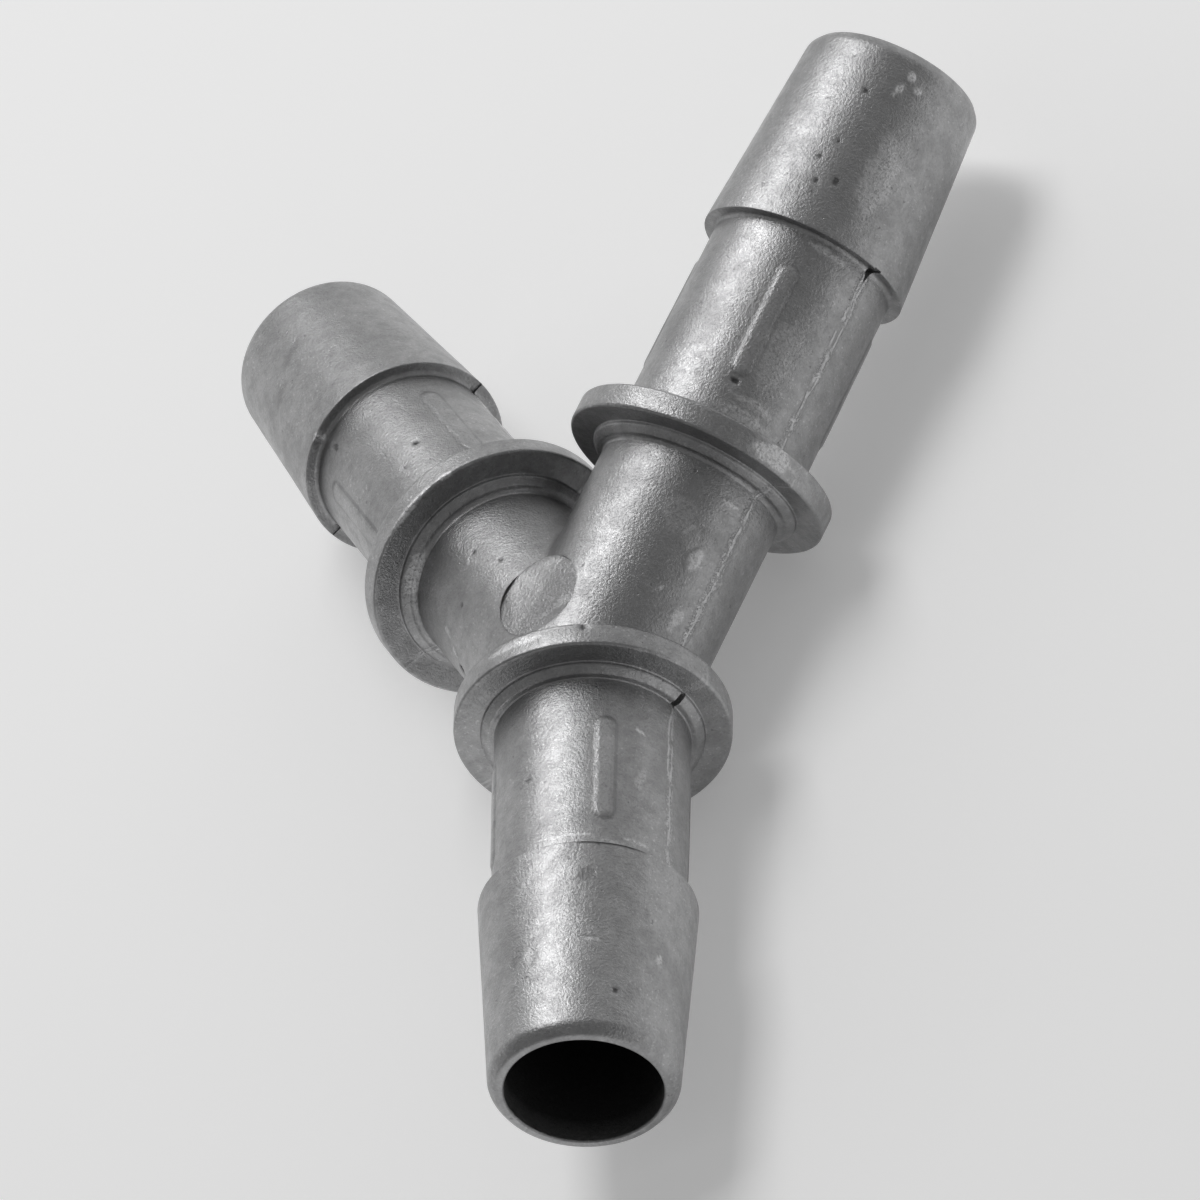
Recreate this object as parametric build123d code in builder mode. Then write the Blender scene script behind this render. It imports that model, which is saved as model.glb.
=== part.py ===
from build123d import *

import os
from math import cos, radians, sin

# Y connector for rubber or vinyl hose, cast in one piece: a stem and two branches, each ending in
# a barbed spigot behind a collar. Millimetres, +Z up, lying flat on the rims of its three collars.
# The axes of the three arms lie in one horizontal plane, where the two halves of the die meet.

os.makedirs("parts", exist_ok=True)

# ---------------------------------------------------------------- driving dimensions (mm, degrees)
# Layout: how far each arm runs from the hub, where the three axes cross, to its collar.
branch_lean = 30.4          # each branch leans this far off the line of the stem
stem_reach = 3.2            # hub to the stem collar's near face
branch_reach = 19.4         # hub to a branch collar's near face

# Tubes
bore_d = 12.6               # waterway, the same in all three arms
body_d = 15.6               # outside of the tubes between the hub and the collars
crotch_blend = 1.2          # fillet in the valleys where the tubes meet

# Collar: the stop for the hose and its clamp, with a low step ring on both faces
collar_d = 22.4
collar_t = 2.15
collar_edge = 0.2           # bevel of the rim
step_d = 18.0
step_h = 0.8

# Neck: where the clamp closes, slightly tapered
neck_length = 18.5          # collar's far face to the barb's shoulder
neck_root_d = 15.8          # at the collar
neck_end_d = 15.5           # at the shoulder
neck_foot = 0.35            # bevel in the corner under the shoulder

# Barb: widest at its shoulder, narrowing to a chamfered tip
barb_length = 18.3          # shoulder to mouth
barb_d = 17.6
tip_d = 15.3                # where the tip's chamfer starts
tip_chamfer = 0.85          # length of the chamfer along the arm
lip_d = 14.0                # flat lip round the mouth
mouth_edge = 0.15           # bevel inside the mouth

# Ribs: four along each neck, halfway between the parting plane and the crown
rib_count = 4
rib_length = 10.1
rib_w = 1.3                 # across its crown
rib_h = 0.3                 # how far a rib stands out of the neck
rib_draft = 15              # its flanks lean in by this much, so that the die opens
rib_gap = 4.9               # collar's far face to the rib's near end

# Reliefs in the parting plane, one on each side of an arm
slot_w = 0.8                # slot through the outer step ring
notch_w = 1.1               # V notch at the foot of the shoulder: its width there
notch_length = 1.6
notch_depth = 0.45

# Round flat pad over the hub, on the crown of the casting
pad_d = 7.6
pad_centre = 4.0            # ahead of the hub, towards the fork
pad_drop = 0.22             # the pad's face lies this far below the crown of the tubes

# ---------------------------------------------------------------- derived dimensions
outer_face = collar_t                       # all four measured from the collar's near face
shoulder = outer_face + neck_length
mouth = shoulder + barb_length
rib_middle = outer_face + rib_gap + rib_length / 2
neck_slope = (neck_root_d - neck_end_d) / 2 / neck_length
rib_seat_r = neck_root_d / 2 - neck_slope * (rib_middle - outer_face)

stem_length = stem_reach + mouth
branch_length = branch_reach + mouth
fork_top = branch_length * cos(radians(branch_lean)) + lip_d / 2 * sin(radians(branch_lean))

# The origin is below the middle of the outline, on the surface that the collars stand on.
hub = Vector(0, (stem_length - fork_top) / 2, collar_d / 2)


def arm_plane(heading, reach):
    """Plane across an arm, reach away from the hub: its Z runs out along the arm, its X is up."""
    along = Vector(sin(radians(heading)), cos(radians(heading)), 0)
    return Plane(origin=along * reach, x_dir=(0, 0, 1), z_dir=along)


headings = {"stem": 180, "right": branch_lean, "left": -branch_lean}
reaches = {"stem": stem_reach, "right": branch_reach, "left": branch_reach}

# ---------------------------------------------------------------- hose end: collar, neck and barb
# Modelled once, standing on its collar's near face with its axis on Z, and used on all three arms.
with BuildPart() as hose_end:
    with BuildSketch(Plane.XZ) as half_section:
        with BuildLine():
            Polyline(
                (0, -step_h),
                (step_d / 2, -step_h),
                (step_d / 2, 0),
                (collar_d / 2, 0),
                (collar_d / 2, collar_t),
                (step_d / 2, collar_t),
                (step_d / 2, collar_t + step_h),
                (neck_root_d / 2, collar_t + step_h),
                (neck_end_d / 2, shoulder),
                (barb_d / 2, shoulder),
                (tip_d / 2, mouth - tip_chamfer),
                (lip_d / 2, mouth),
                (0, mouth),
                close=True,
            )
        make_face()
        rim = half_section.vertices().filter_by(lambda v: abs(v.X - collar_d / 2) < 0.01)
        chamfer(rim, collar_edge)
        foot = half_section.vertices().sort_by_distance((neck_end_d / 2, shoulder))[0]
        chamfer(foot, neck_foot)
    revolve(axis=Axis.Z)

    # Ribs, each a round-ended bar with sloping flanks, sunk into the neck as deep as it stands out.
    for rib in range(rib_count):
        bearing = 360 / rib_count * (rib + 0.5)
        outward = Vector(cos(radians(bearing)), sin(radians(bearing)), 0)
        crown = Plane(
            origin=outward * (rib_seat_r + rib_h) + Vector(0, 0, rib_middle),
            x_dir=(0, 0, 1),
            z_dir=outward,
        )
        with BuildSketch(crown):
            SlotOverall(rib_length, rib_w)
        extrude(amount=-2 * rib_h, taper=-rib_draft)

    # Slots through the outer step ring and V notches under the shoulder, in the parting plane.
    for side in (1, -1):
        with BuildSketch(Plane.XY.offset(collar_t)):
            with Locations((0, side * (neck_root_d + step_d) / 4)):
                Rectangle(slot_w, (step_d - neck_root_d) / 2)
        extrude(amount=step_h, mode=Mode.SUBTRACT)
        notch_plane = Plane(
            origin=(0, side * (neck_end_d / 2 - notch_depth), shoulder),
            x_dir=(1, 0, 0),
            z_dir=(0, side, 0),
        )
        point = -notch_length if side < 0 else notch_length
        with BuildSketch(notch_plane):
            with BuildLine():
                Polyline((-notch_w / 2, 0), (notch_w / 2, 0), (0, point), close=True)
            make_face()
        extrude(amount=barb_d / 2, mode=Mode.SUBTRACT)

# ---------------------------------------------------------------- the casting, round its hub
with BuildPart() as casting:
    # Tubes from the hub into the collars, blended in the three valleys between them.
    for arm, heading in headings.items():
        with BuildSketch(arm_plane(heading, 0)):
            Circle(body_d / 2)
        extrude(amount=reaches[arm] + collar_t)
    valleys = casting.edges().filter_by(GeomType.LINE, reverse=True)
    valleys = valleys.filter_by(GeomType.CIRCLE, reverse=True)
    fillet(valleys, crotch_blend)

    # Hose ends.
    for arm, heading in headings.items():
        with Locations(arm_plane(heading, reaches[arm]).location):
            add(hose_end.part)

    # Pad: a flat round face, sunk below the crown where it crosses the tubes.
    pad_face = Plane(origin=(0, pad_centre, body_d / 2 - pad_drop))
    with BuildSketch(pad_face):
        Circle(pad_d / 2)
    extrude(amount=-body_d / 4)
    with BuildSketch(pad_face):
        Circle(pad_d / 2)
    extrude(amount=2 * pad_drop, mode=Mode.SUBTRACT)

    # Waterway: a bore along each arm, meeting at the hub.
    for arm, heading in headings.items():
        with BuildSketch(arm_plane(heading, 0)):
            Circle(bore_d / 2)
        extrude(amount=reaches[arm] + mouth, mode=Mode.SUBTRACT)
    mouths = casting.edges().filter_by(GeomType.CIRCLE)
    mouths = mouths.filter_by(lambda e: abs(e.radius - bore_d / 2) < 0.01)
    chamfer(mouths, mouth_edge)

# The same casting, lying on its collars.
with BuildPart() as y_connector:
    with Locations(hub):
        add(casting.part)

y_connector.part.label = "y_connector"
export_step(y_connector.part, "parts/y_connector.step")
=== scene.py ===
# %% [markdown]
# # A cast Y connector for hoses, dressed for its portrait
#
# The object is one die casting: a stem and two branches, each a short tube with a collar, a neck
# for the clamp and a barb for the hose. CAD already gives its exact solid. What this script adds
# is what the eye wants: rounded edges, the soft valley between the tubes, the flash that the die
# left along its parting line, and the mottled satin skin of cast metal.
#
# Its box is measured before anything is added, because the dressed part has to stay inside it.

import bpy
import numpy as np
from math import cos, pi, radians, sin
from mathutils import Matrix, Vector, noise


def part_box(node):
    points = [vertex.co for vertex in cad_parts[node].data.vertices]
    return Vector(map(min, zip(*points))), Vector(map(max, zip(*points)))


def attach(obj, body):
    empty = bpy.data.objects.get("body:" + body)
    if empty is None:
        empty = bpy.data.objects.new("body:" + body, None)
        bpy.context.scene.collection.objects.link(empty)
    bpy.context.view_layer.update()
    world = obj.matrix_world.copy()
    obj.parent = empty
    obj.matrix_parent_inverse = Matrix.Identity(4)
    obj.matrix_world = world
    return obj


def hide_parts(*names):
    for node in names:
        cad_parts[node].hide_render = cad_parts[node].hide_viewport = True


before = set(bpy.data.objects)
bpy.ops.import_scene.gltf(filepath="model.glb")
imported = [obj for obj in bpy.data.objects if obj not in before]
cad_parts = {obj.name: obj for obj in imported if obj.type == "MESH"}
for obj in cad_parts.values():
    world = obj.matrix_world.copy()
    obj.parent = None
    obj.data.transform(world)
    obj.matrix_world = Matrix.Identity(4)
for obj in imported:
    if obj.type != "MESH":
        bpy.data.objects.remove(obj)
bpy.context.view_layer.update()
MM = 0.001
low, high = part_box("y_connector")
print("the solid measures", [round((b - a) / MM, 2) for a, b in zip(low, high)], "mm")

# %% [markdown]
# ## Sizes
#
# A turned or cast part is drawn from its axis, so every size here is a distance along an arm or a
# radius about it. They could be typed where they are used, but then a size that two pieces share
# would be written twice. Here each has one name, in millimetres, and MM turns it into metres.

# %% Sizes of the arms
lean = radians(30.4)                     # of a branch from the line of the stem
bore_r, body_r = 6.3, 7.8
collar_r, collar_t = 11.2, 2.15
step_r, step_h = 9.0, 0.8
neck_length, neck_root_r, neck_end_r = 18.5, 7.9, 7.75
barb_length, barb_r, tip_r = 18.3, 8.8, 7.65
lip_r, tip_chamfer = 7.0, 0.85
shoulder = collar_t + neck_length        # distances from here on start at the collar's near face
mouth = shoulder + barb_length
headings = {"stem": pi, "right": lean, "left": -lean}
reaches = {"stem": 3.2, "right": 19.4, "left": 19.4}
hub = Vector((0, low.y / MM + reaches["stem"] + mouth, collar_r))
print("hub at", [round(v, 3) for v in hub], "mm")

# %% [markdown]
# ## Working by hand, from a script
#
# The modelling tools act on whatever is selected, so each step first says which piece it means.
# These few helpers do what a hand does: pick one piece, go into edit mode and out again, read
# where the points are, and add a modifier and apply it at once.
#
# Low relief is pressed into the skin with the Displace modifier, which moves each point along its
# normal. How far each point goes is kept in a vertex group, written in a few dozen steps.

# %% Hands
def select_only(*pieces):
    """Selects these pieces and nothing else, and makes the first the active one."""
    bpy.ops.object.select_all(action="DESELECT")
    for piece in pieces:
        piece.select_set(True)
    bpy.context.view_layer.objects.active = pieces[0]


def open_mesh(piece, everything=True):
    """Enters edit mode on one piece, with all of it or none of it selected."""
    select_only(piece)
    bpy.ops.object.mode_set(mode="EDIT")
    bpy.ops.mesh.select_mode(type="VERT")
    bpy.ops.mesh.select_all(action="SELECT" if everything else "DESELECT")


def close_mesh():
    bpy.ops.object.mode_set(mode="OBJECT")


def points_of(piece):
    """Every point of a piece, in millimetres, one row each."""
    flat = np.empty(len(piece.data.vertices) * 3)
    piece.data.vertices.foreach_get("co", flat)
    return flat.reshape(-1, 3) / MM


def apply_modifier(piece, kind, **settings):
    """Adds a modifier, sets it and applies it."""
    select_only(piece)
    bpy.ops.object.modifier_add(type=kind)
    modifier = piece.modifiers[-1]
    for setting, value in settings.items():
        setattr(modifier, setting, value)
    bpy.ops.object.modifier_apply(modifier=modifier.name)


def triangles(piece):
    return sum(len(face.vertices) - 2 for face in piece.data.polygons)


# %% Marking a region and pressing it in or out
def weigh(piece, name, weights, steps):
    """Writes weights, 0 to 1 for each point, into a new vertex group, rounded to so many steps."""
    group = piece.vertex_groups.new(name=name)
    rounded_weights = np.rint(np.clip(weights, 0, 1) * steps).astype(int)
    for step in range(1, steps + 1):
        members = np.nonzero(rounded_weights == step)[0]
        if len(members):
            group.add(members.tolist(), step / steps, "REPLACE")


def press(piece, name, weights, height, texture=None):
    """Moves the skin by height (mm) where the weights, 0 to 1 for each point, say so."""
    weigh(piece, name, weights, 60)
    apply_modifier(
        piece, "DISPLACE", strength=height * MM, mid_level=0.5 if texture else 0.0,
        vertex_group=name, texture=texture, direction="NORMAL",
    )
    piece.vertex_groups.remove(piece.vertex_groups[name])


def clouds(name, size):
    """A cloud texture for the Displace modifier, its lumps about size (mm) across."""
    texture = bpy.data.textures.new(name, type="CLOUDS")
    texture.noise_scale = size * MM
    texture.noise_depth = 2
    return texture


# %% [markdown]
# ## The hose end
#
# Collar, neck and barb are round about one axis, and all three arms carry the same ones. A lathe
# shape like this could be stacked from cylinders, but its edges would stay sharp and its joints
# would show. Instead its half-section is drawn once, point by point, with every corner rounded as
# the die rounds it, and spun once round the axis. Rows of extra points on the neck and barb give
# the later steps something to move.

# %% The half-section
def rounded(corners, steps=4):
    """A line through (distance, radius, rounding) corners, each cut by an arc of its rounding."""
    line = []
    count = len(corners)
    for i, (s, r, rounding) in enumerate(corners):
        here = Vector((s, r))
        back = (Vector(corners[i - 1][:2]) - here).normalized()
        ahead = (Vector(corners[(i + 1) % count][:2]) - here).normalized()
        if rounding == 0:
            line.append(here)
            continue
        half = back.angle(ahead) / 2
        centre = here + (back + ahead).normalized() * (rounding / sin(half))
        first = here + back * (rounding * cos(half) / sin(half))
        last = here + ahead * (rounding * cos(half) / sin(half))
        for step in range(steps + 1):
            spoke = first.lerp(last, step / steps) - centre
            line.append(centre + spoke.normalized() * rounding)
    return line


def with_rows(line, spacing):
    """The same closed line with more points, so that none of its runs is longer than spacing."""
    dense = []
    for here, ahead in zip(line, line[1:] + line[:1]):
        inside = min(here.y, ahead.y) < bore_r + 0.05
        rows = max(1, round((ahead - here).length / (2.0 if inside else spacing)))
        dense += [here.lerp(ahead, row / rows) for row in range(rows)]
    return dense


skirt = 0.6                              # length of tube that blends up to the near ring
ring_edge, ring_slope = 0.3, 0.6         # straight side of a step ring, and the slope above it
section = with_rows(rounded([
    (-step_h - skirt, bore_r + 0.1, 0),
    (-step_h - skirt, body_r - 0.02, 0),
    (-step_h, body_r - 0.02, 0.45),
    (-step_h, step_r - ring_slope, 0.35),
    (-ring_edge, step_r, 0.3),
    (0, step_r, 0.12),
    (0, collar_r, 0.24),
    (collar_t, collar_r, 0.24),
    (collar_t, step_r, 0.12),
    (collar_t + ring_edge, step_r, 0.3),
    (collar_t + step_h, step_r - ring_slope, 0.35),
    (collar_t + step_h, neck_root_r, 0.12),
    (shoulder, neck_end_r, 0.36),
    (shoulder, barb_r, 0.09),
    (mouth - tip_chamfer, tip_r, 1.2),
    (mouth, lip_r, 0.5),
    (mouth, bore_r, 0.18),
    (0, bore_r, 0),
]), 0.24)
print(len(section), "points in the half-section")

# %% Spinning it
weld = 0.002 * MM                        # points nearer than this are one point
bpy.ops.object.select_all(action="DESELECT")
bpy.ops.mesh.primitive_plane_add(size=MM)
hose_end = bpy.context.object
hose_end.name = "hose_end"
open_mesh(hose_end)
bpy.ops.mesh.merge(type="CENTER")
bpy.ops.transform.translate(value=Vector((section[0].y, 0, section[0].x)) * MM)
for here, ahead in zip(section, section[1:] + section[:1]):
    step = Vector((ahead.y - here.y, 0, ahead.x - here.x)) * MM
    bpy.ops.mesh.extrude_vertices_move(TRANSFORM_OT_translate={"value": step})
bpy.ops.mesh.select_all(action="SELECT")
bpy.ops.mesh.remove_doubles(threshold=weld)
bpy.ops.mesh.spin(steps=256, angle=2 * pi, center=(0, 0, 0), axis=(0, 0, 1))
bpy.ops.mesh.select_all(action="SELECT")
bpy.ops.mesh.remove_doubles(threshold=weld)
bpy.ops.mesh.normals_make_consistent(inside=False)
close_mesh()
print("hose end:", triangles(hose_end), "triangles")

# %% [markdown]
# ## Ribs
#
# Four low bars run along each neck, halfway between the parting plane and the crown. They could be
# separate bars pushed into the neck, with a hard line all round. Here the neck's own skin is
# raised inside a long rounded outline, so that each rib grows out of the casting with soft foot
# and flanks, as it does where metal filled a groove in the die.

# %% Ribs
rib_length, rib_w, rib_h, rib_flank = 10.1, 1.3, 0.13, 0.5
rib_gap = 4.9                            # collar's far face to the rib's near end
rib_middle = collar_t + rib_gap + rib_length / 2
rib_bearings = (45, 135, 225, 315)       # degrees from the crown


def polar(piece):
    """Distance along the arm, radius and bearing (degrees from the crown) of every point."""
    x, y, z = points_of(piece).T
    return z, np.hypot(x, y), np.degrees(np.arctan2(y, x))


def around(bearing, middle):
    """How far a bearing is from a middle one, in degrees, the short way round."""
    return (bearing - middle + 180) % 360 - 180


def bar(along, across, length, width, flank):
    """1 inside a round-ended bar, 0 outside, and an even slope of that flank between."""
    beyond = np.maximum(np.abs(along) - (length - width) / 2, 0)
    outside = np.hypot(beyond, across) - width / 2
    slope = np.clip(0.5 - outside / flank, 0, 1)
    return slope * slope * (3 - 2 * slope)


s, r, bearing = polar(hose_end)
ribs = np.zeros(len(s))
for middle in rib_bearings:
    across = np.radians(around(bearing, middle)) * neck_end_r
    ribs = np.maximum(ribs, bar(s - rib_middle, across, rib_length, rib_w + 0.15, rib_flank))
press(hose_end, "ribs", ribs * (r > bore_r + 0.5), rib_h)
print("ribs raise", int((ribs > 0.5).sum()), "points")

# %% [markdown]
# ## Slots and notches
#
# Where the two halves of the die meet, the outer step ring is slotted, and there is a V nick at
# the foot of the barb's shoulder. A nick with crisp edges is what the Boolean modifier does best:
# small blocks are stood in place and taken away from the casting.

# %% Slots and notches
slot_w, slot_depth = 0.55, 1.2
notch_w = 0.6                            # the wedge is squeezed to this share of its width
cutters = []
for side in (1, -1):
    bpy.ops.object.select_all(action="DESELECT")
    bpy.ops.mesh.primitive_cube_add(
        size=MM, location=(0, side * (step_r + 0.2) * MM, (collar_t + 0.02 + slot_depth / 2) * MM),
    )
    block = bpy.context.object
    open_mesh(block)
    bpy.ops.transform.resize(value=(slot_w, 2.7, slot_depth))
    close_mesh()
    cutters.append(block)
    bpy.ops.object.select_all(action="DESELECT")
    bpy.ops.mesh.primitive_cylinder_add(
        vertices=3, radius=0.75 * MM, depth=3 * MM,
        location=(0, side * (neck_end_r + 1.02) * MM, (shoulder - 0.475) * MM),
        rotation=(radians(-90), 0, 0),
    )
    wedge = bpy.context.object
    open_mesh(wedge)
    bpy.ops.transform.resize(value=(notch_w, 1, 1.4))
    close_mesh()
    cutters.append(wedge)
for cutter in cutters:
    select_only(cutter)
    bpy.ops.object.transform_apply(location=True, rotation=True, scale=True)
    apply_modifier(hose_end, "BOOLEAN", operation="DIFFERENCE", object=cutter, solver="EXACT")
    bpy.data.objects.remove(cutter)
print("hose end with ribs and nicks:", triangles(hose_end), "triangles")

# %% [markdown]
# ## The hub
#
# Three tubes meet here, with a soft valley between them. Joined tubes would meet in a hard crease,
# and a bevel fails on so long and curved an edge. So the tubes are united and bored as solids,
# turned into an even net of small faces by the Remesh modifier, and the net is relaxed only in
# the valleys, which is how a modeller's finger would blend wet clay.

# %% Uniting and boring the tubes
def along_arm(arm):
    return Vector((sin(headings[arm]), cos(headings[arm]), 0))


def place_on_arm(arm, reach):
    """Turns and moves a piece modelled along Z so that it points out along an arm."""
    out = along_arm(arm)
    up = Vector((0, 0, 1))
    turn = Matrix((up, out.cross(up), out)).transposed().to_4x4()
    return Matrix.Translation((hub + out * reach) * MM) @ turn


def tube(arm, radius, start, end):
    """A solid round bar along an arm, from start to end (mm from the hub)."""
    bpy.ops.object.select_all(action="DESELECT")
    bpy.ops.mesh.primitive_cylinder_add(
        vertices=288, radius=radius * MM, depth=(end - start) * MM,
        location=(0, 0, (start + end) / 2 * MM),
    )
    piece = bpy.context.object
    bpy.ops.object.transform_apply(location=True, rotation=True, scale=True)
    piece.matrix_world = place_on_arm(arm, 0)
    bpy.ops.object.transform_apply(location=True, rotation=True, scale=True)
    return piece


overlap = 0.12                           # how far a branch's tube runs into its collar's ring
hub_ends = {arm: reach - step_h + overlap for arm, reach in reaches.items()}
stem_end = 4.2                           # the stem's tube is short, and ends inside its collar
hub_casting = tube("right", body_r, 0, hub_ends["right"])
hub_casting.name = "hub_casting"
for arm in ("left", "stem"):
    other = tube(arm, body_r, 0, hub_ends[arm] if arm == "left" else stem_end)
    apply_modifier(hub_casting, "BOOLEAN", operation="UNION", object=other, solver="EXACT")
    bpy.data.objects.remove(other)
for arm in headings:
    other = tube(arm, bore_r, -0.5, hub_ends[arm] + 3)
    apply_modifier(hub_casting, "BOOLEAN", operation="DIFFERENCE", object=other, solver="EXACT")
    bpy.data.objects.remove(other)
print("hub as cut:", triangles(hub_casting), "triangles")

# %% An even net, relaxed in the valleys
apply_modifier(hub_casting, "REMESH", mode="VOXEL", voxel_size=0.23 * MM, use_smooth_shade=True)
spots = points_of(hub_casting) - np.array(hub)


def from_tube(arm):
    """How far outside (or inside, below 0) one arm's tube every point of the hub lies."""
    out = np.array(along_arm(arm))
    run = spots @ out
    beside = np.linalg.norm(spots - run[:, None] * out, axis=1) - body_r
    return np.where(run > -1.5, beside, 9.0)


nearest = np.sort(np.stack([np.abs(from_tube(arm)) for arm in headings]), axis=0)
outside = np.min(np.stack([from_tube(arm) for arm in headings]), axis=0) > -0.6
valley = np.clip(1.35 - nearest[1] / 1.3, 0, 1) * outside
weigh(hub_casting, "valley", valley, 20)
apply_modifier(hub_casting, "SMOOTH", factor=0.5, iterations=90, vertex_group="valley")
apply_modifier(hub_casting, "SMOOTH", factor=0.5, iterations=3)
hub_casting.vertex_groups.remove(hub_casting.vertex_groups["valley"])
print("hub:", triangles(hub_casting), "triangles")

# %% [markdown]
# ## The pad
#
# Over the hub the die leaves a small round flat, just below the crown of the tubes. Its rim is a
# crisp step, so it is cut with solids too: a disc fills the valley up to the flat, and a second
# one above it shaves off what stands proud.

# %% The pad
pad_r, pad_centre, pad_drop = 3.8, 4.0, 0.22
pad_z = hub.z + body_r - pad_drop
for operation, bottom, top in (("UNION", -1.0, 0.0), ("DIFFERENCE", 0.0, 1.0)):
    bpy.ops.object.select_all(action="DESELECT")
    bpy.ops.mesh.primitive_cylinder_add(
        vertices=96, radius=pad_r * MM, depth=(top - bottom) * MM,
        location=Vector((hub.x, hub.y + pad_centre, pad_z + (top + bottom) / 2)) * MM,
    )
    disc = bpy.context.object
    bpy.ops.object.transform_apply(location=True, rotation=True, scale=True)
    apply_modifier(hub_casting, "BOOLEAN", operation=operation, object=disc, solver="EXACT")
    bpy.data.objects.remove(disc)
print("hub with pad:", triangles(hub_casting), "triangles")

# %% [markdown]
# ## Three arms from one
#
# Each arm gets its own copy of the hose end, so that it can carry its own dents later. A copy is
# turned into place and the turn is applied, which leaves its object at the origin.

# %% Three arms from one
arms = {}
for arm in headings:
    select_only(hose_end)
    bpy.ops.object.duplicate()
    piece = bpy.context.object
    piece.name = arm + "_hose_end"
    piece.matrix_world = place_on_arm(arm, reaches[arm])
    bpy.ops.object.transform_apply(location=True, rotation=True, scale=True)
    arms[arm] = piece
bpy.data.objects.remove(hose_end)
casting = [hub_casting, *arms.values()]
print("casting:", [piece.name for piece in casting])

# %% [markdown]
# ## What the die and the bench left
#
# No casting is as smooth as its drawing. Metal creeps into the parting line and leaves a ragged
# flash, the skin waves a little where it cooled, and handling adds pits, bumps and scratches. Each
# could be painted on, but paint has no shadow of its own. So the skin itself is moved by a few
# hundredths of a millimetre, and the same marks are stored on the points for the material to read.

# %% Where a point lies on an arm
def on_arm(piece, arm):
    """Distance from the hub, radius and bearing of every point, taken about one arm."""
    spots = points_of(piece) - np.array(hub)
    side = np.array((cos(headings[arm]), -sin(headings[arm]), 0))
    along, across, up = spots @ np.array(along_arm(arm)), spots @ side, spots[:, 2]
    return along, np.hypot(across, up), np.degrees(np.arctan2(across, up))


def ragged(spots, size):
    """Soft noise from about -1 to 1 at these places, its lumps about size (mm) across."""
    return np.array([noise.noise(Vector(spot) / size) for spot in spots])


def store(piece, name, values):
    """Keeps one number for each point, for a material to read."""
    layer = piece.data.attributes.new(name, "FLOAT", "POINT")
    layer.data.foreach_set("value", np.asarray(values, dtype=np.float32))


# %% Inside the bores, and calm ends
# The bores are painted dark as painted shade, deeper in more so. Open ends and collar rims stay
# round, so they are calm.
inside, calm = {}, {}
for piece in casting:
    bores, ends = np.zeros(len(piece.data.vertices)), np.ones(len(piece.data.vertices))
    for arm in headings:
        s, r, _ = on_arm(piece, arm)
        bores = np.maximum(bores, (r < bore_r + 0.13) & (s > -0.3))
        if piece is arms[arm]:
            from_mouth = reaches[arm] + mouth - s
            ends = np.clip((from_mouth - 1.2) / 2, 0, 1) * np.clip((collar_r - 0.1 - r) / 0.3, 0, 1)
            depth = np.clip(from_mouth / 3 + 0.3, 0, 1)
    inside[piece], calm[piece] = bores, ends * (1 - bores)
    # the stored numbers say how much painted shade each point in a bore gets
    store(piece, "inside", bores * (1 if piece is hub_casting else depth))
print("points inside the bores:", int(sum(bores.sum() for bores in inside.values())))

# %% Flash along the parting line
# It wanders and breaks off. The barbs were trimmed, so hardly any is left there.
flash_w, flash_h = 0.2, 0.1
on_barb, on_collar = 0.08, 0.45          # how much of the flash is left there
for piece in casting:
    spots = points_of(piece)
    off = spots[:, 2] - hub.z
    near = np.nonzero((np.abs(off) < 4 * flash_w) & (inside[piece] < 0.5))[0]
    wander = ragged(spots[near], 2.6) * 0.3
    vigour = np.clip(0.5 + ragged(spots[near] + 40, 1.1), 0.05, 1)
    ridge = np.zeros(len(spots))
    ridge[near] = np.exp(-(((off[near] - wander) / flash_w) ** 2)) * vigour
    seam = np.ones(len(spots))
    for arm in headings:
        if piece is arms[arm]:
            s, r, _ = on_arm(piece, arm)
            past_neck = s > reaches[arm] + shoulder - 0.6
            seam = np.where(past_neck, on_barb, np.where(r > neck_root_r + 0.3, on_collar, 1.0))
    press(piece, "flash", ridge * seam * np.clip(calm[piece] * 2, 0, 1), flash_h)
    store(piece, "seam", seam)

# %% Waves in the skin
waves = ((5.0, 0.05), (1.5, 0.014))      # size and height of the broad ones and the fine ones
for piece in casting:
    for size, height in waves:
        press(piece, "waves", calm[piece], height, clouds("waves", size))
print("flash up to", flash_h, "mm and waves up to", waves[0][1], "mm")
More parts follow.
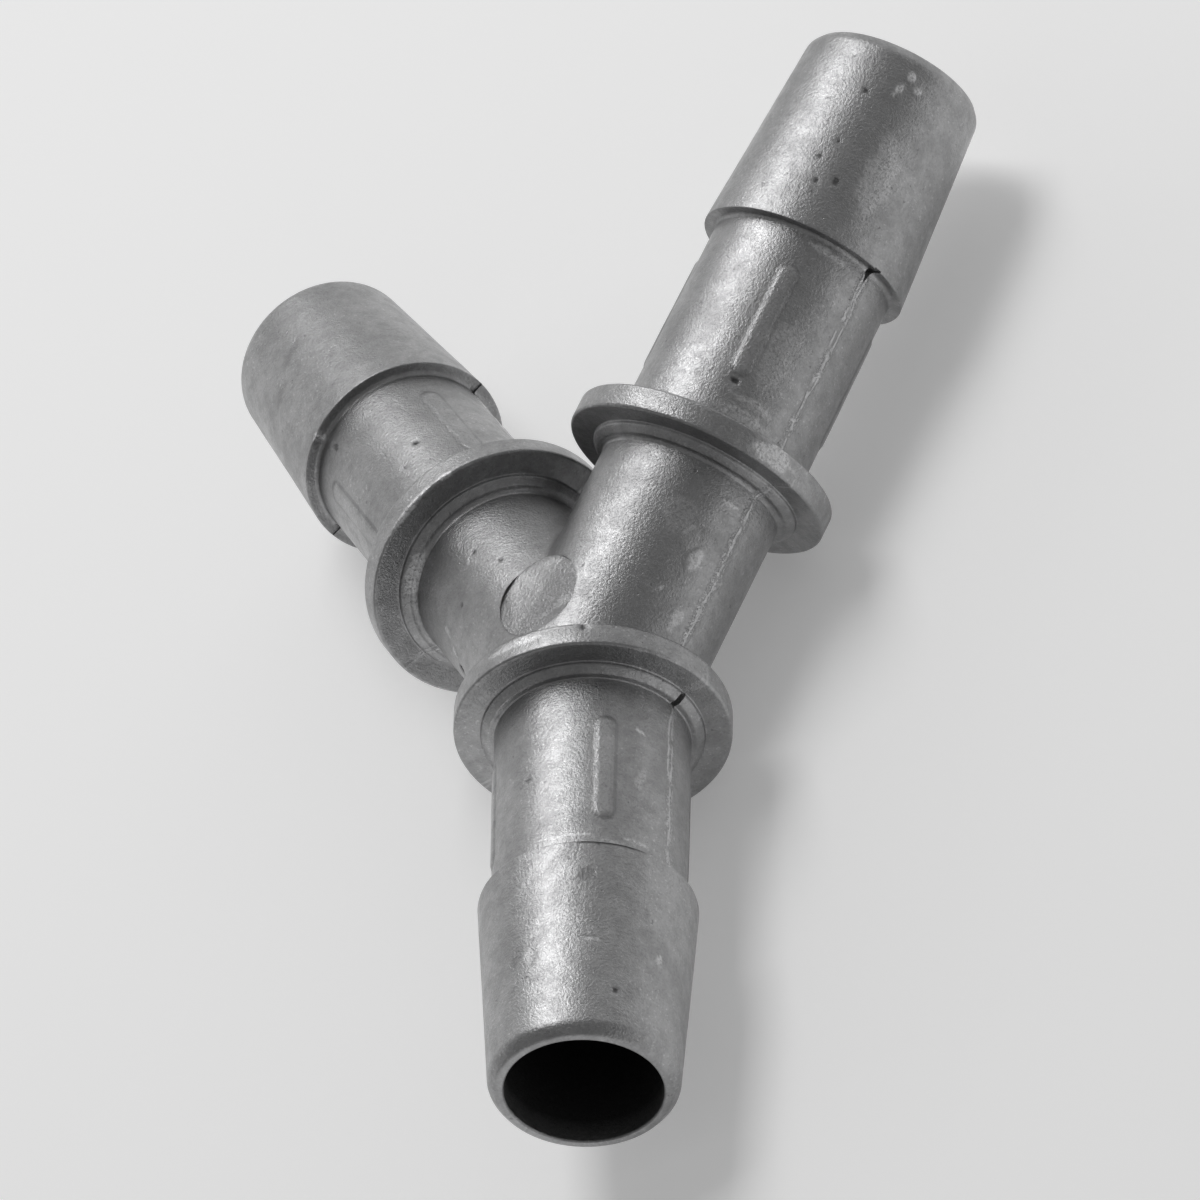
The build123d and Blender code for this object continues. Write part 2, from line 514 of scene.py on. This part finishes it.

# %% [markdown]
# ## Marks of its own
#
# One table lists the bumps, pits, scratches and worn spots, and also a few painted highlights along
# edges and steps and a painted shadow line under the stem's shoulder, by the arm they are on, the
# distance from the hub, the bearing from the crown, their length and width, how far they are turned
# from the arm's line, their height in hundredths of a millimetre, and how much lighter or darker
# they are.
# Each is an oval with a ragged outline, so that no two look stamped from one tool.

# %% The marks
marks = (
    ("right", 10.7, 71.5, 1.9, 1.1, 8, 10, 0.7), ("right", 7.0, 60, 1.7, 0.3, 40, -4, 0.7),
    ("right", 16.3, 75, 1.6, 0.5, 84, 5, 0.7), ("right", 11.9, 63, 2.6, 1.4, 20, 2, 0.2),
    ("right", 10.2, 94, 1.3, 0.4, 50, 6, 0.5), ("right", 20.6, 76, 1.8, 5.0, 0, -6, 0.95),
    ("right", 54.5, 54.9, 1.4, 0.7, 20, 6, 0.9), ("right", 56.0, 58.2, 0.9, 0.7, 0, 6, 0.9),
    ("right", 55.2, 65.2, 0.8, 0.6, 60, 5, 0.8), ("right", 46.9, 66, 8.0, 3.0, 0, 2, 0.45),
    ("right", 44.1, 36, 0.5, 0.45, 0, -6, -0.8), ("right", 46.3, 31.5, 0.5, 0.4, 0, -6, -0.7),
    ("right", 48.1, 37, 0.6, 0.5, 0, -6, -0.7), ("right", 43.1, 37, 0.5, 0.4, 0, -5, -0.7),
    ("right", 53.2, 37.7, 0.5, 0.5, 0, -6, -0.7), ("right", 44.7, 46, 0.6, 0.5, 0, -5, -0.7),
    # painted highlight: the bright band across the right neck at 39.1 mm, just below the shoulder
    ("right", 25.7, 45, 0.5, 0.9, 0, -12, -0.9), ("right", 39.1, 64, 0.7, 4.2, 4, 4, 0.5),
    # painted highlight: the bright band across the right neck at 24.5 mm, beyond the ring
    ("right", 24.5, 61, 0.8, 3.6, 5, 4, 0.45), ("left", 30.2, 17, 0.8, 0.6, 30, -14, -1.0),
    ("left", 38.1, -22.4, 0.8, 0.6, 0, -6, -0.6), ("left", 28.4, 3, 0.5, 0.4, 0, -5, -0.5),
    ("left", 50.9, -4.4, 2.8, 1.0, 60, -3, -0.3), ("left", 46.5, 12.6, 1.6, 0.9, 40, -3, -0.3),
    ("left", 48.4, -29.4, 3.4, 1.0, 80, -3, -0.25), ("left", 40.2, -24.6, 0.5, 0.9, 0, -10, 1.0),
    ("left", 13.5, 2.1, 0.5, 0.5, 0, -6, -0.7), ("left", 13.3, -3.7, 0.9, 0.3, 30, 4, 0.6),
    ("left", 10.5, 11.3, 0.5, 0.5, 0, -6, -0.6), ("left", 10.6, -25.1, 0.5, 0.4, 0, -6, -0.6),
    ("left", 11.8, -48, 1.6, 0.8, 10, 9, 0.5), ("left", 10.5, -56, 1.0, 0.6, 30, 9, 0.6),
    ("left", 9.7, -66, 0.9, 0.7, 0, -16, -1.0), ("stem", 33.3, -39.3, 0.35, 1.3, 0, -4, 0.8),
    ("stem", 34.1, -4, 1.4, 0.9, 0, -4, 0.4), ("stem", 33.5, -81, 1.2, 0.6, 20, 4, 0.6),
    ("stem", 38.0, -54, 0.6, 0.5, 20, -8, -0.8), ("stem", 33.8, 5.8, 2.2, 1.2, 20, -3, -0.35),
    ("stem", 27.0, -36.3, 1.6, 1.2, 0, -3, -0.4), ("stem", 10.9, -66.7, 0.4, 1.1, 30, 4, 0.7),
    ("stem", 15.4, 2.7, 0.5, 0.5, 0, -6, -0.6), ("stem", 15.8, 8.0, 0.6, 0.3, 40, -5, -0.5),
    # painted highlight: the bright fleck at 22.9 mm, on the stem's neck by the shoulder
    ("stem", 15.8, -67, 2.6, 0.9, 20, 3, 0.4), ("stem", 22.9, -50, 0.6, 2.4, 0, 3, 0.4),
    # painted shadow: the dark line at 24.0 mm along the edge of the stem's shoulder
    ("stem", 3.6, -32.4, 0.8, 0.6, 0, -14, -1.0), ("stem", 24.0, -46, 0.3, 8.0, 0, 0, -1.0),
    # painted highlight: the two bright flecks at 22.3 mm, by the stem's shoulder
    ("stem", 22.3, -66, 0.4, 2.4, 0, 2, 0.8), ("stem", 22.3, -26, 0.4, 2.6, 0, 2, 0.7),
    # painted highlight: the bright lines along the stem's collar rim at 4.0 mm and the left collar
    # rim at 19.6 mm
    ("stem", 4.0, -2, 0.6, 5.0, 0, 0, 0.8), ("left", 19.6, -6, 0.45, 6.0, 0, 0, 1.0),
    # painted highlight: the bright lines along the left collar rim at 19.6 mm and its step ring at
    # 18.6 mm
    ("left", 19.6, 14, 0.45, 1.4, 0, 0, 1.0), ("left", 18.6, -36, 0.7, 4.0, 0, 0, 0.8),
    ("right", 5.6, 78, 2.0, 1.2, 20, 3, 0.5), ("right", 13.5, 50, 4.0, 3.0, 0, 0, 0.3),
    ("right", 29.0, 62, 7.0, 3.2, 0, 0, 0.35), ("right", 23.2, 58, 1.2, 5.0, 0, 4, 0.5),
)
deepest = 0.16                           # no mark is higher or deeper than this
tint = {piece: np.zeros(len(piece.data.vertices)) for piece in casting}
relief = {piece: np.zeros(len(piece.data.vertices)) for piece in casting}
for arm, place, middle, length, width, turn, height, shade in marks:
    piece = arms[arm] if place > reaches[arm] - step_h else hub_casting
    s, r, bearing = on_arm(piece, arm)
    along, across = s - place, np.radians(around(bearing, middle)) * r
    reach = max(length, width)
    on_rim = 0 < place - reaches[arm] < collar_t             # such a mark stays off the faces
    near = (np.hypot(along, across) < reach) & (inside[piece] < 0.5) & (s > 0)
    near = np.nonzero(near & (r > (collar_r - 0.3 if on_rim else 0)))[0]
    along, across, tilt = along[near], across[near], radians(turn)
    lengthwise = along * cos(tilt) + across * sin(tilt)
    crosswise = across * cos(tilt) - along * sin(tilt)
    oval = np.hypot(lengthwise / length, crosswise / width) * 2
    spots = points_of(piece)[near]
    oval += ragged(spots, 0.5) * 0.35 + ragged(spots, 1.8) * 0.4
    mark = np.clip((1.15 - oval) / 0.4, 0, 1)
    relief[piece][near] += mark * height / 100
    tint[piece][near] += mark * shade

# %% Painted shade at the foot of the ribs and round the pad, painted highlight on the rib crowns
for arm, piece in arms.items():
    s, r, bearing = on_arm(piece, arm)
    along = s - reaches[arm] - rib_middle
    for middle in rib_bearings:
        across = np.radians(around(bearing, middle)) * neck_end_r
        # painted highlight: each rib's crown is painted lighter; painted shade: a ring round its
        # foot is painted darker
        crown = bar(along, across, rib_length - 0.4, rib_w - 0.3, 0.3)
        foot_shade = bar(along, across, rib_length + 0.7, rib_w + 0.7, 0.3)
        foot_shade -= bar(along, across, rib_length + 0.1, rib_w + 0.1, 0.3)
        tint[piece] += (r < neck_root_r + 0.4) * (1 - inside[piece]) * (crown * 0.2 - foot_shade * 0.47)
# painted shade: a thin ring along the rim of the pad is painted darker
spots = points_of(hub_casting) - np.array(hub)
rim = np.hypot(spots[:, 0], spots[:, 1] - pad_centre) - pad_r
tint[hub_casting] -= np.clip(1 - np.abs(rim - 0.03) / 0.16, 0, 1) * (spots[:, 2] > 5) * 0.5
print("darker points:", int(sum((shade < -0.1).sum() for shade in tint.values())))

# %% Pressing the marks in and out
for piece in casting:
    press(piece, "bumps", relief[piece] / deepest, deepest)
    press(piece, "pits", -relief[piece] / deepest, -deepest)
    store(piece, "tint", np.clip(tint[piece], -1, 1))
print(len(marks), "marks on the casting")

# %% [markdown]
# ## Shader maths in plain Python
#
# A material is a web of nodes, and a web drawn by hand is hard to read back. Here a socket is
# wrapped in a small class, so that `1 - mask * 0.5` adds the Math nodes by itself, and every other
# node comes from one method that takes its type, its settings and what goes into its sockets.

# %% A small language for materials
class Value:
    """An output socket that can be used in a sum."""

    def __init__(self, shader, socket):
        self.shader = shader
        self.socket = socket

    def maths(self, operation, first, second):
        return self.shader.add("ShaderNodeMath", {"operation": operation}, {0: first, 1: second})

    def __add__(self, other):
        return self.maths("ADD", self, other)

    def __radd__(self, other):
        return self.maths("ADD", other, self)

    def __sub__(self, other):
        return self.maths("SUBTRACT", self, other)

    def __rsub__(self, other):
        return self.maths("SUBTRACT", other, self)

    def __mul__(self, other):
        return self.maths("MULTIPLY", self, other)

    def __rmul__(self, other):
        return self.maths("MULTIPLY", other, self)

    def __abs__(self):
        return self.maths("ABSOLUTE", self, 0.0)


class Shader:
    """A material under construction."""

    def __init__(self, name):
        self.material = bpy.data.materials.new(name)
        self.material.use_nodes = True
        self.tree = self.material.node_tree
        self.surface = self.tree.nodes["Principled BSDF"]
        self.place = self.add("ShaderNodeTexCoord", output="Object")

    def add(self, kind, settings=None, sockets=None, output=0):
        """Adds a node: its settings first, then a value or a link for each of its sockets."""
        node = self.tree.nodes.new(kind)
        for setting, value in (settings or {}).items():
            setattr(node, setting, value)
        for socket, value in (sockets or {}).items():
            self.feed(node.inputs[socket], value)
        return Value(self, node.outputs[output])

    def feed(self, socket, value):
        if isinstance(value, Value):
            self.tree.links.new(value.socket, socket)
        else:
            socket.default_value = value

    def noise(self, size, detail=2.0, roughness=0.5, distortion=0.0):
        """Soft random patches about size (mm) across, from 0 to 1."""
        return self.add(
            "ShaderNodeTexNoise", None,
            {"Vector": self.place, "Scale": 1 / (size * MM), "Detail": detail,
             "Roughness": roughness, "Distortion": distortion},
        )

    def between(self, value, low, high, to_low=0.0, to_high=1.0):
        """Stretches value so that low and high become to_low and to_high, held at both ends."""
        return self.add(
            "ShaderNodeMapRange", {"interpolation_type": "SMOOTHSTEP"},
            {"Value": value, "From Min": low, "From Max": high,
             "To Min": to_low, "To Max": to_high},
        )

    def blend(self, factor, first, second):
        """Goes from the first colour to the second as factor goes from 0 to 1."""
        return self.add(
            "ShaderNodeMix", {"data_type": "RGBA"},
            {0: factor, 6: (*first, 1) if isinstance(first, tuple) else first,
             7: (*second, 1) if isinstance(second, tuple) else second}, output=2,
        )


# %% [markdown]
# ## The skin of the casting
#
# Cast metal that was tumbled but never polished has a satin skin: it shines in a broad band, and
# the band breaks up into patches where the metal chilled unevenly. One grey would look like
# plastic, and a picture of metal would stretch over the curves. So broad patches, fine grain,
# bright crystals and scattered dark specks each get a noise of their own size, and the same masks
# drive colour, roughness and a very small bump. Worn spots and flash are a little less metallic,
# because scuffed metal carries a pale powdery oxide.

# %% The skin
def grey(value):
    return (value, value, value * 1.01)


skin = Shader("cast_skin")
patches = skin.noise(6.0, 3, 0.6, 0.4)
mottle = skin.noise(1.3, 4, 0.66)
grain = skin.noise(0.24, 3, 0.7)
crystals = skin.between(skin.noise(0.3, 3, 0.75), 0.56, 0.7)
specks = skin.between(skin.noise(0.7, 2, 0.6), 0.7, 0.76)
tint = skin.add("ShaderNodeAttribute", {"attribute_name": "tint"}, output="Fac")
bore_shade = skin.add("ShaderNodeAttribute", {"attribute_name": "inside"}, output="Fac")
tone = patches * 0.4 + mottle * 0.6

# %% Thin lines of flash and crumbs along the parting plane
up = skin.add("ShaderNodeSeparateXYZ", None, {0: skin.place}, output="Z")
off = abs(up - hub.z * MM + (skin.noise(2.2) - 0.5) * (0.6 * MM))
apart = skin.between(skin.noise(7.0), 0.42, 0.58, 0.0, 0.24 * MM)
lines = skin.between(abs(off - apart), 0.06 * MM, 0.18 * MM, 1.0, 0.0)
lines = lines * skin.between(skin.noise(1.1, 3), 0.36, 0.5)
crumbs = skin.between(off, 0.25 * MM, 0.7 * MM, 1.0, 0.0) * skin.between(grain, 0.46, 0.56)
crumbs = crumbs * skin.between(skin.noise(3.0, 2), 0.36, 0.56)
left_over = skin.add("ShaderNodeAttribute", {"attribute_name": "seam"}, output="Fac")
flash = (lines * 0.65 + crumbs * 0.7 - lines * crumbs * 0.5) * left_over

# %% Colour, shine and bump
colour = skin.blend(skin.between(tone, 0.36, 0.64), grey(0.34), grey(0.43))
colour = skin.blend(skin.between(grain, 0.45, 0.72, 0.0, 0.3), colour, grey(0.16))
colour = skin.blend(crystals * skin.between(patches, 0.35, 0.6, 0.05, 0.4), colour, grey(0.85))
colour = skin.blend(specks * 0.4, colour, grey(0.1))
# lighter colour from the tint: real worn spots and bumps, and the painted highlights on rib crowns,
# collar rims, step feet and the stem's shoulder; all of them are a little less metallic
wear_and_painted_highlight = skin.between(tint, 0.0, 0.9) * skin.between(grain * 0.7 + mottle * 0.3, 0.66, 0.42)
colour = skin.blend(wear_and_painted_highlight * 0.9, colour, grey(0.85))
# darker colour from the tint: real pits and nicks, and the painted shade at the rib feet, round the
# pad and under the stem's shoulder
pits_and_painted_shade = skin.between(tint + (grain - 0.5) * 0.4, 0.0, -1.0, 0.0, 0.9)
colour = skin.blend(pits_and_painted_shade, colour, grey(0.05))
colour = skin.blend(flash, colour, grey(0.8))
# painted shade: the bores are painted nearly black, deeper in more so
colour = skin.blend(bore_shade * 0.85, colour, grey(0.03))
skin.feed(skin.surface.inputs["Base Color"], colour)
skin.feed(skin.surface.inputs["Metallic"], 1.0 - wear_and_painted_highlight * 0.5 - flash * 0.35)
skin.feed(skin.surface.inputs["Roughness"], skin.between(tone, 0.36, 0.64, 0.41, 0.3) + bore_shade * 0.3)
height = mottle * 0.2 + grain * 0.9 - specks * 0.3 + flash * 1.2
bump = skin.add("ShaderNodeBump", None, {"Height": height, "Strength": 0.7, "Distance": 0.1 * MM})
skin.feed(skin.surface.inputs["Normal"], bump)
for piece in casting:
    piece.data.materials.clear()
    piece.data.materials.append(skin.material)
print("skin:", len(skin.tree.nodes), "nodes")

# %% [markdown]
# ## Smooth shading
#
# The skin is still a net of flat faces. Smooth shading bends the light evenly from one face to the
# next and hides the net, but bent across a real corner it makes metal look like soap. So faces are
# shaded smooth only where they meet gently, and the nicks and the rim of the pad stay crisp.

# %% Smooth shading
crease = 38                              # degrees; faces that meet more sharply keep their edge
for piece in casting:
    select_only(piece)
    bpy.ops.object.shade_smooth_by_angle(angle=radians(crease))
print("smooth up to", crease, "degrees")

# %% [markdown]
# ## Floor and light
#
# Metal shows what stands around it, so a bare lamp would leave one hard glint on a black tube. A
# pale floor and large soft lamps are kinder: a narrow one overhead draws the long bright band down
# each tube, and a wide one behind and a small one at the left fill the rest. To look pale without
# more light on the casting, the floor has a faint glow that only the camera and the metal's own
# reflections see. The floor keeps the casting's shadow.

# %% The floor
bpy.ops.object.select_all(action="DESELECT")
bpy.ops.mesh.primitive_plane_add(size=6.0, location=(0, 0, 0))
floor = bpy.context.object
floor.name = "floor"
paper = Shader("paper")
paper.surface.inputs["Base Color"].default_value = (0.9, 0.9, 0.9, 1)
paper.surface.inputs["Roughness"].default_value = 0.9
paper.surface.inputs["Specular IOR Level"].default_value = 0.0
seen = paper.add("ShaderNodeLightPath", output="Is Camera Ray")
for ray in ("Is Glossy Ray", "Is Transmission Ray"):
    seen = seen + paper.add("ShaderNodeLightPath", output=ray)
glow = 0.2
paper.feed(paper.surface.inputs["Emission Color"], seen * glow)
paper.surface.inputs["Emission Strength"].default_value = 1.0
floor.data.materials.append(paper.material)
print("floor:", round(floor.dimensions.x, 2), "m wide, at height", floor.location.z)

# %% The light
def soft_box(name, toward, distance, width, length, watts):
    """A rectangular lamp in a direction from the hub, facing the hub."""
    lamp = bpy.data.lights.new(name, type="AREA")
    lamp.shape = "RECTANGLE"
    lamp.size, lamp.size_y = width, length
    lamp.energy = watts
    box = bpy.data.objects.new(name, lamp)
    bpy.context.scene.collection.objects.link(box)
    direction = Vector(toward).normalized()
    box.location = hub * MM + direction * distance
    box.rotation_euler = direction.to_track_quat("Z", "Y").to_euler()


# %% Three soft boxes and an even surround
soft_box("band", (-0.05, 0.48, 0.88), 0.8, 0.33, 0.5, 2.4)
soft_box("backdrop", (0.05, 0.9, 0.42), 0.9, 2.6, 0.8, 2.6)
soft_box("side", (-0.9, 0.3, 0.3), 0.9, 0.8, 0.6, 0.7)
world = bpy.data.worlds.new("studio")
bpy.context.scene.world = world
world.use_nodes = True
surround = world.node_tree.nodes["Background"]
surround.inputs["Color"].default_value = (1, 1, 1, 1)
surround.inputs["Strength"].default_value = 0.21
lamps = [item.name for item in bpy.context.scene.objects if item.type == "LIGHT"]
print("soft boxes:", lamps)

# %% [markdown]
# ## The camera
#
# A fitting this small could be seen from close by, but then its near arm would look swollen. The
# camera stands more than a metre away with a long lens, above the stem and to its right, so that
# all three arms keep their proportions and the stem's mouth shows.

# %% The camera
lens = bpy.data.cameras.new("camera")
lens.sensor_width = 36
lens.lens = 439.4
lens.clip_start, lens.clip_end = 0.1, 20
camera = bpy.data.objects.new("camera", lens)
bpy.context.scene.collection.objects.link(camera)
from_hub = Vector((545.29, -764.60, 708.87))
camera.location = (hub + from_hub) * MM
camera.rotation_euler = [radians(a) for a in (41.6626, 36.6121, 1.3394)]
bpy.context.scene.camera = camera
bpy.context.scene.view_settings.view_transform = "Standard"
print("camera", round(from_hub.length), "mm from the hub")

# %% [markdown]
# ## One body for the casting
#
# The four pieces are one casting, so all of them ride the same body, carry the same material slot
# and stand in for the one plain solid.

# %% One body for the casting
for piece in casting:
    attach(piece, "root")
    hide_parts("y_connector")

print(sum(triangles(piece) for piece in casting), "triangles in all")
